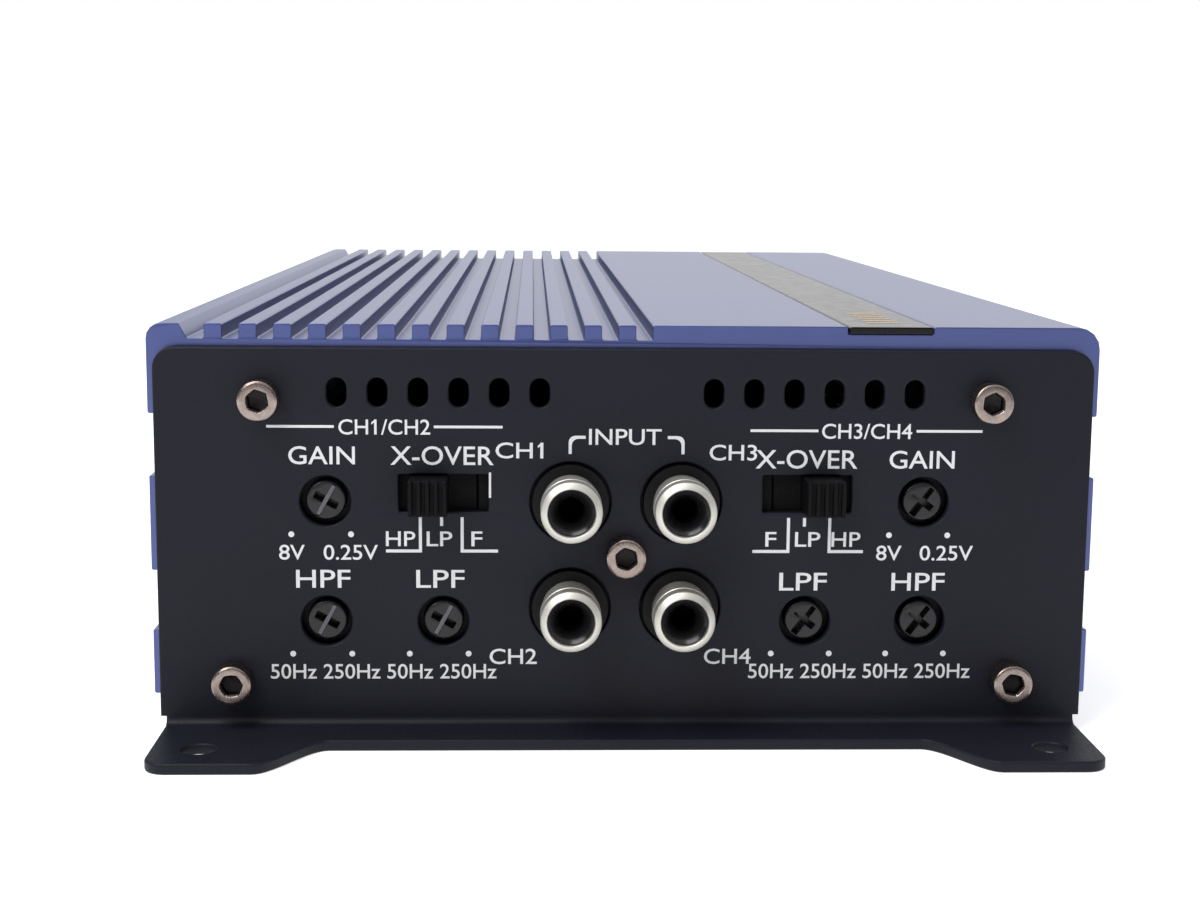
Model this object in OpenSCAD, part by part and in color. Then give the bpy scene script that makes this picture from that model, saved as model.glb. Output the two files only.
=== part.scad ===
// Compact four-channel car amplifier.
// X runs across the amplifier, Y along the extrusion from the input end (-Y) to the power end (+Y), Z up.
// The origin is on the mounting surface, under the middle of the amplifier.

/* [Heatsink] */
// Overall width of the extruded heatsink
body_w = 130; // [130:1:140]
// Length of the extruded heatsink
body_l = 230; // [228:1:280]
// Height of the fin tops above the mounting surface
body_h = 56.8; // [56:0.1:60]
// Depth of the cooling grooves in the top
groove_d = 2.05; // [1:0.05:2.5]
// Number of cooling grooves
groove_n = 14; // [8:1:14]
// Distance from one fin to the next
fin_pitch = 4.67; // [4:0.01:4.7]
// Width of one fin
fin_w = 2.4; // [1.5:0.1:3]
// Width of the inlay channel in the top
strip_w = 11.6; // [6:0.1:14]

/* [End plates] */
// Width of each end plate
plate_w = 128; // [126:0.5:128]
// Sheet thickness of the end plates
plate_t = 1.5; // [1.2:0.1:1.5]
// Height of the end plates above the mounting surface
plate_h = 53.7; // [52:0.1:54]
// How far each foot stands out from its end plate
foot_l = 18; // [16:0.5:20]
// Width of the folded flange between the feet
flange_l = 8; // [6:0.5:9]
// Diameter of the fixing hole in each foot
foot_hole_d = 4.5; // [3.5:0.1:5]

/* [Input panel] */
// Height of the upper row of trimmers
upper_z = 32.75; // [31:0.25:34]
// Height of the lower row of trimmers
lower_z = 16; // [16:0.25:18]
// Distance of the outer trimmers from the middle
outer_x = 41; // [40:0.5:42]
// Distance of the inner trimmers from the middle
inner_x = 25; // [24:0.5:26]
// Diameter of the trimmer holes in the panel
trimmer_hole_d = 7; // [6.5:0.1:8]
// Diameter of the trimmer shafts
shaft_d = 5.5; // [5:0.1:6]
// Distance between sockets across the panel
jack_pitch_x = 15.2; // [14:0.1:15.5]
// Distance between sockets up the panel
jack_pitch_z = 14.8; // [14:0.1:15]
// How far the socket shells stand out of the panel
jack_out = 9; // [8:0.5:10]
// Travel of each crossover switch, from its first position to its third
switch_travel = 4; // [3:0.5:4]

/* [Power panel] */
// Distance between the power terminals
power_pitch = 10.8; // [10.4:0.1:11]
// Distance between the speaker terminals
speaker_pitch = 6.4; // [6.2:0.1:6.4]
// How far the terminal blocks stand out of the panel
block_out = 11; // [10:0.5:13]

/* [Hidden] */
$fn = 48;

// Ends of the extrusion and outer faces of the two end plates
front_y = -body_l / 2 - plate_t;
rear_y = body_l / 2 + plate_t;
// Extrusion: lowest edge, wall faces, ceiling and the panel screws' ports
base_z = 1;
wall_x = body_w / 2 - 5;
ceiling_z = body_h - 5.8;
corner_r = 3;
// Outer side bands that stand back from the ribs, as [from, to] heights
side_bands = [[base_z - 1, 5.4], [14.5, 22.8], [36, 44.5]];
band_d = 1.5;
port_top = [49.6, 46.75];
port_low = [53.8, 7.6];
port_r = 1.5;
boss_r = 3.2;
first_fin_x = -57.2;
// How far the first groove's outer wall leans outwards
groove_lean = 1.1;
strip_x = 36.2;
strip_d = 1.1;
// Sheet cover and its channel at the foot of each wall
cover_z = 2.5;
cover_t = 1.2;
cover_lap = 1.3;
// Main circuit board and the ribs that hold its edges
board_z = 12.1;
board_t = 1.6;
board_top = board_z + board_t;
rib_d = 2.5;
// Clearance round a part that passes through or sits in another
gap = 0.1;
// Folded sheet of the end plates
bend_r = 1;
foot_half_w = 63.2;
foot_hole = [56.8, 11.5];
// Where a foot's inner edge starts to run out, and how far it takes
foot_run_x = 40;
foot_run_l = 9;
// Cap screws: M3 with a 2.5 mm hexagon socket
cap_r = 2.75;
cap_h = 3;
shank_r = 1.45;
hex_af = 2.5;
screw_hole_r = 1.7;
// Input panel
jack_z = 25.3;
jack_block_w = 30;
jack_block_h = 30;
collar_r = 5.2;
collar_out = 0.6;
shell_r = 4.15;
shell_in_r = 3.15;
pin_hole_r = 1.7;
pin_hole_l = 7.4;
control_y = -104.4;
window = [12.2, 5.2];
window_x = 24.9;
window_z = 33.85;
knob = [5.2, 4.8];
knob_out = 5;
vent_w = 2.7;
vent_h = 4;
vent_z = 47.65;
vent_x = 11.85;
vent_pitch = 5.5;
// Angle of each trimmer's cross slot from level
slot_angle_12 = 61;
slot_angle_34 = 53;
// Power panel
power_x = 29;
power_block = [34, 13.6];
speaker_x = -24;
speaker_block = [52, 11.4];
block_in_y = 104;
// [pocket width, pocket height, height of the pocket's floor above the board, clamp sheet]
power_pocket = [8.6, 9.2, 1.6, 1.2];
speaker_pocket = [5.2, 6.8, 1.4, 1];
fuse_z = 36;
fuse_x = [17.5, 39.5];
fuse_w = 19.1;
fuse_t = 5.1;
lamp_x = [-44, -34];
lamp_z = 37;
// Power devices along both walls
device_y = [-66, -50, -34, 6, 22, 38];
device_z = 17;
pad_t = 0.3;

// ---------- helpers ----------

// Stands a flat outline, drawn in X and Z, as a sheet of thickness t whose face towards -Y is at y.
module upright(y, t) {
    translate([0, y + t, 0]) rotate([90, 0, 0]) linear_extrude(t) children();
}

// Mirrors its children to both sides of the middle.
module both_sides() {
    children();
    mirror([1, 0, 0]) children();
}

// Oblong with half-round ends, standing up, centred on the origin.
module oblong(w, h) {
    square([w, h - w], center = true);
    for (s = [-1, 1]) translate([0, s * (h - w) / 2]) circle(w / 2);
}

// Box centred across X and Z, from y0 to y1.
module bar(x, z, w, h, y0, y1) {
    translate([x - w / 2, y0, z - h / 2]) cube([w, y1 - y0, h]);
}

// Round bar along Y at x, z, from y0 to y1.
module round_bar(x, z, r, y0, y1) {
    translate([x, y0, z]) rotate([-90, 0, 0]) cylinder(r = r, h = y1 - y0);
}

// Socket cap screw pointing up, with the underside of its head at z = 0.
module cap_screw(length) {
    chamfer = 0.35;
    difference() {
        union() {
            cylinder(r = cap_r, h = cap_h - chamfer);
            translate([0, 0, cap_h - chamfer]) cylinder(r1 = cap_r, r2 = cap_r - chamfer, h = chamfer);
            translate([0, 0, -length]) cylinder(r = shank_r, h = length + 0.5);
        }
        translate([0, 0, cap_h - 1.7]) cylinder(r = hex_af / 2 / cos(30), h = 2, $fn = 6);
    }
}

// ---------- casing ----------

// Section of the extrusion: finned top, ribbed walls, screw ports, board ribs and cover channels.
module heatsink_section() {
    half = body_w / 2;
    difference() {
        union() {
            translate([-half, base_z]) square([body_w, body_h - base_z - corner_r]);
            translate([-half + corner_r, base_z]) square([body_w - 2 * corner_r, body_h - base_z]);
            for (s = [-1, 1]) translate([s * (half - corner_r), body_h - corner_r]) circle(corner_r);
        }
        // Space inside, with its opening underneath
        difference() {
            translate([-wall_x, base_z - 1]) square([2 * wall_x, ceiling_z - base_z + 1]);
            both_sides() {
                translate(port_top) circle(boss_r);
                translate([port_top[0] - boss_r, port_top[1]])
                    square([2 * boss_r, ceiling_z - port_top[1] + 1]);
                translate(port_low) circle(boss_r);
                translate([port_low[0], port_low[1] - boss_r]) square([wall_x - port_low[0] + 1, 2 * boss_r]);
                for (z = [board_z - gap - 1.2, board_top + gap])
                    translate([wall_x - rib_d, z]) square([rib_d + 1, 1.2]);
            }
        }
        both_sides() {
            for (p = [port_top, port_low]) translate(p) circle(port_r);
            translate([wall_x - 1, cover_z - gap]) square([1 + cover_lap + gap, cover_t + 2 * gap]);
            for (b = side_bands) translate([half - band_d, b[0]]) square([band_d + 1, b[1] - b[0]]);
        }
        for (i = [0 : groove_n - 1])
            translate([first_fin_x + i * fin_pitch - (fin_pitch - fin_w), body_h - groove_d])
                square([fin_pitch - fin_w, groove_d + 1]);
        translate([first_fin_x - (fin_pitch - fin_w), body_h])
            polygon([[0.1, -groove_d], [0, -groove_d], [-groove_lean, 0], [-groove_lean, 1], [0.1, 1]]);
        translate([strip_x - strip_w / 2, body_h - strip_d]) square([strip_w, strip_d + 1]);
    }
}

module heatsink() {
    color("royalblue") difference() {
        upright(-body_l / 2, body_l) heatsink_section();
        // Blind holes that take the clamp screws
        for (y = clamp_screw_y, s = [-1, 1])
            translate([s * (wall_x - 1), y, clamp_z]) rotate([0, s * 90, 0]) cylinder(r = port_r, h = 4.6);
    }
}

module bottom_cover() {
    half = wall_x + cover_lap;
    color("dimgray") translate([-half, -body_l / 2, cover_z]) cube([2 * half, body_l, cover_t]);
}

module trim_strip() {
    color("black") translate([strip_x - strip_w / 2 + 0.05, -body_l / 2, body_h - strip_d + 0.05])
        cube([strip_w - gap, body_l, strip_d - gap]);
}

// ---------- end plates ----------

// Depth of the folded flange at distance x from the middle.
function flange_depth(x) =
    let (t = max(0, min(1, (abs(x) - foot_run_x) / foot_run_l)))
    flange_l + (foot_l - flange_l) * t * t * (3 - 2 * t);

// Outline of the flange seen from above, with its free edge towards +Y.
module flange_outline() {
    steps = 12;
    run = [for (i = [0 : steps]) foot_run_x + foot_run_l * i / steps];
    corner = [foot_half_w - corner_r, foot_l - corner_r];
    half = concat(
        [for (x = run) [x, flange_depth(x)]],
        [for (a = [90 : -15 : 0]) [corner[0] + corner_r * cos(a), corner[1] + corner_r * sin(a)]],
        [[foot_half_w, -3]]);
    polygon(concat(half, [for (i = [len(half) - 1 : -1 : 0]) [-half[i][0], half[i][1]]]));
}

// Fold and flange of an end plate, with y = 0 at the plate's outer face and the feet towards +Y.
module folded_flange() {
    difference() {
        intersection() {
            translate([-foot_half_w, 0, 0]) rotate([90, 0, 90]) linear_extrude(2 * foot_half_w) union() {
                translate([bend_r, 0]) square([foot_l, plate_t]);
                translate([bend_r, plate_t + bend_r]) intersection() {
                    difference() {
                        circle(bend_r + plate_t);
                        circle(bend_r);
                    }
                    translate([-5, -5]) square(5);
                }
            }
            translate([0, 0, -1]) linear_extrude(10) flange_outline();
        }
        for (s = [-1, 1]) translate([s * foot_hole[0], foot_hole[1], -1]) cylinder(d = foot_hole_d, h = 4);
    }
}

// Flat outline of an end plate above its fold.
module plate_outline() {
    z0 = plate_t + bend_r;
    half = plate_w / 2;
    translate([-half, z0]) square([plate_w, plate_h - z0 - corner_r]);
    translate([-half + corner_r, z0]) square([plate_w - 2 * corner_r, plate_h - z0]);
    for (s = [-1, 1]) translate([s * (half - corner_r), plate_h - corner_r]) circle(corner_r);
}

// Holes that both end plates share: panel screws and cooling slots.
module shared_holes() {
    both_sides() {
        for (p = [port_top, port_low]) translate(p) circle(screw_hole_r);
        for (i = [0 : 5]) translate([vent_x + i * vent_pitch, vent_z]) oblong(vent_w, vent_h);
    }
}

module front_end_plate() {
    color("#22242c") union() {
        upright(front_y, plate_t) difference() {
            plate_outline();
            shared_holes();
            for (t = trimmers) translate([t[0], t[1]]) circle(trimmer_hole_d / 2);
            for (j = jacks) translate(j) circle(collar_r + 0.3);
            for (s = [-1, 1]) translate([s * window_x, window_z]) square(window, center = true);
            translate([0, jack_z]) circle(screw_hole_r);
        }
        translate([0, front_y, 0]) mirror([0, 1, 0]) folded_flange();
    }
}

module rear_end_plate() {
    color("#22242c") union() {
        upright(rear_y - plate_t, plate_t) difference() {
            plate_outline();
            shared_holes();
            translate([power_x - power_block[0] / 2 - 0.3, board_top - 0.3])
                square([power_block[0] + 0.6, power_block[1] + 0.6]);
            translate([speaker_x - speaker_block[0] / 2 - 0.3, board_top - 0.3])
                square([speaker_block[0] + 0.6, speaker_block[1] + 0.6]);
            for (x = fuse_x) translate([x, fuse_z]) square([holder[0] + 0.4, holder[1] + 0.4], center = true);
            for (x = lamp_x) translate([x, lamp_z]) circle(lamp_r + gap);
        }
        translate([0, rear_y, 0]) folded_flange();
    }
}

module front_plate_screws() {
    color("silver") both_sides() for (p = [port_top, port_low])
        translate([p[0], front_y, p[1]]) rotate([90, 0, 0]) cap_screw(10);
}

module rear_plate_screws() {
    color("silver") both_sides() for (p = [port_top, port_low])
        translate([p[0], rear_y, p[1]]) rotate([-90, 0, 0]) cap_screw(10);
}

module jack_block_screw() {
    color("silver") translate([0, front_y, jack_z]) rotate([90, 0, 0]) cap_screw(8);
}

// ---------- input sockets ----------

jacks = [for (sx = [-1, 1], sz = [1, -1]) [sx * jack_pitch_x / 2, jack_z + sz * jack_pitch_z / 2]];
shell_back_y = -110;
rim_y = front_y - jack_out;
collar_y = front_y - collar_out;
insulator_y = rim_y + 0.6;

module jack_block() {
    back = control_y - 0.1;
    color("#141416") difference() {
        union() {
            bar(0, jack_z, jack_block_w, jack_block_h, front_y + plate_t, back);
            for (j = jacks) round_bar(j[0], j[1], collar_r, collar_y, back);
        }
        for (j = jacks) round_bar(j[0], j[1], shell_r - 0.3 + 0.05, collar_y - 1, shell_back_y);
        round_bar(0, jack_z, port_r, front_y, front_y + 9);
    }
}

// Turned shells that the plugs' collars grip.
module jack_shells() {
    chamfer = 0.35;
    color("gainsboro") for (j = jacks) difference() {
        union() {
            round_bar(j[0], j[1], shell_r - 0.3, collar_y - 0.5, shell_back_y);
            round_bar(j[0], j[1], shell_r, rim_y + chamfer, collar_y);
            translate([j[0], rim_y + chamfer, j[1]]) rotate([90, 0, 0])
                cylinder(r1 = shell_r, r2 = shell_r - chamfer, h = chamfer);
        }
        round_bar(j[0], j[1], shell_in_r, rim_y - 1, shell_back_y + 1);
    }
}

// Insulators with the hole that the plug's pin enters.
module jack_insulators() {
    hole_end = insulator_y + pin_hole_l;
    color("#1a1a1c") for (j = jacks) difference() {
        round_bar(j[0], j[1], shell_in_r - 0.05, insulator_y, shell_back_y);
        round_bar(j[0], j[1], pin_hole_r, insulator_y - 1, hole_end + 0.5);
        round_bar(j[0], j[1], 2.45, hole_end, shell_back_y + 1);
    }
}

// Sprung sleeves that grip the plug's pin, a little under its 3.2 mm.
module jack_contacts() {
    color("goldenrod") for (j = jacks) difference() {
        round_bar(j[0], j[1], 2.4, insulator_y + pin_hole_l, shell_back_y);
        round_bar(j[0], j[1], 1.5, insulator_y + pin_hole_l - 1, shell_back_y - 1);
    }
}

// ---------- trimmers ----------

// [x, z, angle of the cross slot] of each trimmer
trimmers = [for (s = [-1, 1], p = [[outer_x, upper_z], [outer_x, lower_z], [inner_x, lower_z]])
    [s * p[0], p[1], s < 0 ? slot_angle_12 : slot_angle_34]];
housing_y = -111;
shaft_face_y = front_y + 0.8;
shaft_back_y = control_y - 1.1;

module trimmer_housings() {
    color("#3a3d42") for (t = trimmers) difference() {
        union() {
            bar(t[0], t[1], 9.8, 9.4, housing_y, control_y);
            round_bar(t[0], t[1], 3.6, housing_y - 2.6, housing_y + 1);
        }
        round_bar(t[0], t[1], shaft_d / 2 + 0.05, housing_y - 4, control_y - 1);
    }
}

// One trimmer shaft with its screwdriver cross.
module trimmer_shaft(t) {
    chamfer = 0.3;
    color("#222226") translate([t[0], shaft_face_y, t[1]]) rotate([-90, 0, 0]) difference() {
        union() {
            cylinder(r1 = shaft_d / 2 - chamfer, r2 = shaft_d / 2, h = chamfer);
            translate([0, 0, chamfer]) cylinder(r = shaft_d / 2, h = shaft_back_y - shaft_face_y - chamfer);
        }
        for (a = [0, 90]) rotate([0, 0, -t[2] + a]) translate([-2.2, -0.5, -1]) cube([4.4, 1, 2.3]);
    }
}

// ---------- crossover switches ----------

frame_y = front_y + plate_t + 0.05;
frame_size = [19, 7.4];
frame_depth = 6;
frame_wall = 0.5;
base_t = 1.2;
slider = [13, 5.6];

// Bent sheet frames that hold the sliders.
module switch_frames() {
    color("#2c2d31") for (s = [-1, 1]) difference() {
        bar(s * window_x, window_z, frame_size[0], frame_size[1], frame_y, frame_y + frame_depth);
        bar(s * window_x, window_z, frame_size[0] - 2 * frame_wall, frame_size[1] - 2 * frame_wall,
            frame_y + frame_wall, frame_y + frame_depth + 1);
        bar(s * window_x, window_z, knob[0] + switch_travel + 0.3, knob[1] + 0.3, frame_y - 1, frame_y + 1);
    }
}

// Laminate bases with the pins of their contacts.
module switch_bases() {
    y0 = frame_y + frame_depth;
    color("peru") for (s = [-1, 1]) {
        bar(s * window_x, window_z, frame_size[0], frame_size[1], y0, y0 + base_t);
        for (i = [-2 : 2], z = [-2.5, 2.5])
            bar(s * window_x + i * 3, window_z + z, 0.8, 0.5, y0 + base_t, control_y);
    }
}

// Sliding knob of one switch, with five finger ribs; side is -1 for channels 1 and 2, 1 for 3 and 4.
module crossover_knob(side) {
    x = side * (window_x + switch_travel / 2);
    rib_w = 0.56;
    rib_gap = (knob[0] - 5 * rib_w) / 4;
    color("#18181b") difference() {
        union() {
            bar(x, window_z, knob[0], knob[1], front_y - knob_out, frame_y + 1);
            bar(x, window_z, slider[0], slider[1], frame_y + frame_wall + gap, frame_y + 4);
        }
        for (i = [0 : 3])
            translate([x - knob[0] / 2 + rib_w + i * (rib_w + rib_gap), front_y - knob_out - 1, window_z - 5])
                cube([rib_gap, 1.6, 10]);
    }
}

// ---------- boards and what stands on them ----------

module control_board() {
    color("darkgreen") upright(control_y, board_t) translate([-56, 11.2]) square([112, 31.8]);
}

// Angled pin header that joins the two boards.
module board_link() {
    color("#1b1b1b") {
        translate([-20, -98, board_top]) cube([40, 2.6, 2.6]);
        for (i = [0 : 14]) bar(-17.78 + i * 2.54, board_top + 1.3, 0.64, 0.64, control_y + board_t, -98);
    }
}

module main_board() {
    half = wall_x - 0.3;
    color("darkgreen") translate([-half, -98, board_z]) cube([2 * half, 211, board_t]);
}

module insulation_sheet() {
    color("ivory") translate([-49, -112, cover_z + cover_t]) cube([98, 224, 0.4]);
}

toroid = [0, -52, board_top];
core_r = [10, 18];
core_h = 14;

// Ring of ferrite, standing on the winding that wraps it.
module transformer_core() {
    color("#33373d") translate([toroid[0], toroid[1], toroid[2] + 1.6]) difference() {
        cylinder(r = core_r[1], h = core_h);
        translate([0, 0, -1]) cylinder(r = core_r[0], h = core_h + 2);
    }
}

// Two windings wrapped round the ring, as hollow sectors.
module transformer_winding() {
    wrap = 1.5;
    inner = [core_r[1] - core_r[0] + 0.2, core_h + 0.2];
    color("chocolate") translate(toroid) for (a = [10, 190]) rotate([0, 0, a]) rotate_extrude(angle = 160)
        translate([core_r[0] - 0.1, wrap]) difference() {
            translate([-wrap, -wrap]) square([inner[0] + 2 * wrap, inner[1] + 2 * wrap]);
            square(inner);
        }
}

module filter_choke() {
    color("goldenrod") translate([34, 74, board_top]) difference() {
        cylinder(r = 10, h = 11);
        translate([0, 0, -1]) cylinder(r = 4, h = 13);
    }
}

// Cans with a rolled groove, as [x, y, radius, height].
module filter_capacitors() {
    cans = [[-22, -4, 8, 30], [0, -4, 8, 30], [22, -4, 8, 30], [-11, 18, 8, 30], [11, 18, 8, 30],
        [-20, 86, 6.3, 22], [0, 86, 6.3, 22], [-36, -84, 5, 16], [36, -84, 5, 16]];
    color("#20262f") for (c = cans) translate([c[0], c[1], board_top]) difference() {
        cylinder(r = c[2], h = c[3]);
        translate([0, 0, 2]) difference() {
            cylinder(r = c[2] + 1, h = 1.2);
            translate([0, 0, -1]) cylinder(r = c[2] - 0.7, h = 4);
        }
    }
}

clamp_z = 27.5;
clamp_screw_y = [-74, -58, -42, -26, -2, 14, 30, 46];
device_face = wall_x - pad_t - 4.6;
clamp_runs = [[-78, -22], [-6, 50]];

// Power devices standing against both walls: tab, body and three leads each.
module transistors() {
    color("#1c1c1f") both_sides() for (y = device_y) {
        translate([wall_x - pad_t - 1.3, y - 5, device_z]) cube([1.3, 10, 15.6]);
        translate([device_face, y - 5, device_z]) cube([3.3, 10, 9.2]);
        for (i = [-1, 0, 1])
            translate([wall_x - 3.3, y - 0.4 + i * 2.54, board_top]) cube([0.5, 0.8, device_z - board_top]);
    }
}

module thermal_pads() {
    color("lightgray") both_sides() for (y = device_y)
        translate([wall_x - pad_t, y - 5.5, device_z - 0.5]) cube([pad_t, 11, 9.4]);
}

// Bars that press the devices on to the walls.
module transistor_clamps() {
    color("gray") both_sides() for (r = clamp_runs) difference() {
        translate([device_face - 2, r[0], device_z + 1]) cube([2, r[1] - r[0], clamp_z - device_z + 2.5]);
        for (y = clamp_screw_y) translate([device_face - 3, y, clamp_z]) rotate([0, 90, 0])
            cylinder(r = screw_hole_r, h = 4);
    }
}

module clamp_screws() {
    color("silver") both_sides() for (y = clamp_screw_y)
        translate([device_face - 2, y, clamp_z]) rotate([0, -90, 0]) cap_screw(9.5);
}

// ---------- power panel ----------

block_y = rear_y + block_out;
screw_y = rear_y + block_out / 2;
power_poles = [for (i = [-1, 0, 1]) power_x + i * power_pitch];
speaker_poles = [for (i = [0 : 7]) speaker_x + (i - 3.5) * speaker_pitch];

// Block of wire pockets with a bevelled outer edge, countersunk screw wells and a groove between poles.
// size is [width, height] and pocket is [width, height, floor, sheet].
module terminal_block(x0, size, poles, pocket, well_r) {
    bevel = 1.2;
    sink = 0.4;
    groove = [0.5, 0.5];
    top = board_top + size[1];
    pitch = poles[1] - poles[0];
    difference() {
        translate([x0 - size[0] / 2, 0, board_top]) rotate([90, 0, 90]) linear_extrude(size[0])
            polygon([[block_in_y, 0], [block_y, 0], [block_y, size[1] - bevel], [block_y - bevel, size[1]],
                [block_in_y, size[1]]]);
        for (x = poles) {
            bar(x, board_top + pocket[2] + pocket[1] / 2, pocket[0], pocket[1], rear_y - 3, block_y + 1);
            translate([x, screw_y, board_top + pocket[2]]) cylinder(r = well_r, h = size[1]);
            translate([x, screw_y, top - sink]) cylinder(r1 = well_r, r2 = well_r + 2 * sink, h = 2 * sink);
        }
        for (i = [1 : len(poles) - 1]) translate([poles[i] - pitch / 2 - groove[0] / 2, 0, 0]) {
            translate([0, rear_y - 1, top - groove[1]]) cube([groove[0], block_out + 2, 1]);
            translate([0, block_y - groove[1], board_top - 1]) cube([groove[0], 1, size[1] + 2]);
        }
    }
}

// Bent brass clamp with a tapped top leg, a back and a floor.
module wire_clamp(x, pocket, hole_r) {
    w = pocket[0] - 2 * gap;
    z0 = board_top + pocket[2] + 0.05;
    h = pocket[1] - gap;
    y0 = rear_y - 3 + 0.05;
    y1 = block_y - 1.5;
    t = pocket[3];
    difference() {
        translate([x - w / 2, y0, z0]) cube([w, y1 - y0, h]);
        translate([x - w, y0 + t, z0 + t]) cube([2 * w, y1 - y0, h - 2 * t]);
        translate([x, screw_y, z0 + h - t - 1]) cylinder(r = hole_r, h = t + 2);
    }
}

// Slotted terminal screw, whose tip is level with the underside of the clamp's top leg.
module terminal_screw(x, pocket, size, thread_r, head_r, head_h) {
    tip_z = board_top + pocket[2] + pocket[1] - pocket[3] - 0.05;
    head_z = board_top + size[1] - 0.4 - head_h;
    color("#b9b7ae") translate([x, screw_y, 0]) difference() {
        union() {
            translate([0, 0, tip_z]) cylinder(r = thread_r, h = head_z - tip_z + 0.2);
            translate([0, 0, head_z]) cylinder(r = head_r, h = head_h);
        }
        translate([-head_r - 1, -0.4, head_z + head_h - 0.9]) cube([2 * head_r + 2, 0.8, 2]);
    }
}

module power_terminal_block() {
    color("#17171a") terminal_block(power_x, power_block, power_poles, power_pocket, 3.4);
}

module power_clamps() {
    color("darkkhaki") for (x = power_poles) wire_clamp(x, power_pocket, 2.45);
}

module power_screw(i) {
    terminal_screw(power_poles[i], power_pocket, power_block, 2.4, 3.2, 1.8);
}

module speaker_terminal_block() {
    color("#17171a") terminal_block(speaker_x, speaker_block, speaker_poles, speaker_pocket, 2.2);
}

module speaker_clamps() {
    color("darkkhaki") for (x = speaker_poles) wire_clamp(x, speaker_pocket, 1.5);
}

module speaker_screw(i) {
    terminal_screw(speaker_poles[i], speaker_pocket, speaker_block, 1.45, 2, 1.6);
}

// ---------- fuses and lamps ----------

holder = [21.4, 8];
holder_back = 94;
bezel_y = rear_y + 1.2;
fuse_out_y = rear_y + 7.5;
fuse_in_y = fuse_out_y - 12.3;
blade = [5.2, 0.65];
blade_x = 6.95;
blade_tip_y = fuse_in_y - 6.4;

// Holder with two sockets, one bezel outside the plate and a snap lug over each socket inside it.
module fuse_holder() {
    bezel_w = fuse_x[1] - fuse_x[0] + holder[0] + 2;
    color("#17171a") difference() {
        union() {
            for (x = fuse_x) {
                bar(x, fuse_z, holder[0], holder[1], holder_back, rear_y);
                bar(x, fuse_z, 8, holder[1] + 1.6, rear_y - plate_t - 4, rear_y - plate_t);
            }
            bar((fuse_x[0] + fuse_x[1]) / 2, fuse_z, bezel_w, holder[1] + 2, rear_y, bezel_y);
        }
        for (x = fuse_x) {
            bar(x, fuse_z, fuse_w + 0.4, fuse_t + 0.4, fuse_in_y - 0.2, bezel_y + 1);
            for (s = [-1, 1])
                bar(x + s * blade_x, fuse_z, blade[0] + 0.4, blade[1] + 0.4, blade_tip_y - 1, fuse_in_y + 1);
        }
    }
}

// Strips from the back of the holder down to the board.
module fuse_terminals() {
    color("silver") for (x = fuse_x, s = [-1, 1]) translate([x + s * blade_x - 2, 0, 0]) {
        translate([0, holder_back - 0.8, board_top]) cube([4, 0.8, fuse_z - board_top + 2.5]);
        translate([0, holder_back - 4, board_top]) cube([4, 3.3, 0.8]);
    }
}

// Moulded body of a blade fuse, with its waist and finger edge.
module fuse_body(x) {
    color("#e8b400") difference() {
        bar(x, fuse_z, fuse_w, fuse_t, fuse_in_y, fuse_out_y);
        for (s = [-1, 1]) {
            bar(x + s * blade_x, fuse_z, blade[0], blade[1], fuse_in_y - 1, fuse_in_y + 3.9);
            bar(x, fuse_z + s * fuse_t / 2, fuse_w - 4, 1, fuse_out_y - 6.2, fuse_out_y - 2);
        }
        bar(x, fuse_z, 3.4, fuse_t + 1, fuse_in_y - 1, fuse_in_y + 4.5);
    }
}

module fuse_blades(x) {
    color("lightsteelblue") for (s = [-1, 1])
        bar(x + s * blade_x, fuse_z, blade[0], blade[1], blade_tip_y, fuse_in_y + 3.9);
}

lamp_r = 1.5;
lamp_collar = [2, 4];
lead = 0.5;
lead_pitch = 2.54;

// Domed indicator lamp with a collar behind the plate and its two leads, bent down to the board.
module lamp(x) {
    inside_y = rear_y - plate_t;
    collar_y = inside_y - gap - lamp_collar[1];
    lead_y = block_in_y - 2;
    translate([x, 0, lamp_z]) {
        round_bar(0, 0, lamp_r, inside_y - 3, rear_y + 0.3);
        translate([0, rear_y + 0.3, 0]) sphere(lamp_r);
        round_bar(0, 0, lamp_collar[0], collar_y, inside_y - gap);
    }
    for (s = [-1, 1]) translate([x + s * lead_pitch / 2 - lead / 2, lead_y, 0]) {
        translate([0, 0, lamp_z - lead / 2]) cube([lead, collar_y + 0.5 - lead_y, lead]);
        translate([0, 0, board_top]) cube([lead, lead, lamp_z - board_top]);
    }
}

// ---------- nodes ----------

heatsink();
bottom_cover();
front_end_plate();
rear_end_plate();
trim_strip();
front_plate_screws();
rear_plate_screws();
jack_block_screw();
jack_block();
jack_shells();
jack_insulators();
jack_contacts();
control_board();
trimmer_housings();
trimmer_shaft(trimmers[0]);  // gain_trimmer_ch12
trimmer_shaft(trimmers[1]);  // hpf_trimmer_ch12
trimmer_shaft(trimmers[2]);  // lpf_trimmer_ch12
trimmer_shaft(trimmers[3]);  // gain_trimmer_ch34
trimmer_shaft(trimmers[4]);  // hpf_trimmer_ch34
trimmer_shaft(trimmers[5]);  // lpf_trimmer_ch34
switch_frames();
switch_bases();
crossover_knob(-1);  // crossover_knob_ch12
crossover_knob(1);  // crossover_knob_ch34
board_link();
main_board();
insulation_sheet();
transformer_core();
transformer_winding();
filter_choke();
filter_capacitors();
transistors();
thermal_pads();
transistor_clamps();
clamp_screws();
power_terminal_block();
power_clamps();
power_screw(0);  // power_screw_battery
power_screw(1);  // power_screw_remote
power_screw(2);  // power_screw_ground
speaker_terminal_block();
speaker_clamps();
for (i = [0 : 7])
    speaker_screw(i);
fuse_holder();
fuse_terminals();
fuse_body(fuse_x[0]);  // fuse_1_body
fuse_blades(fuse_x[0]);  // fuse_1_blades
fuse_body(fuse_x[1]);  // fuse_2_body
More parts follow.
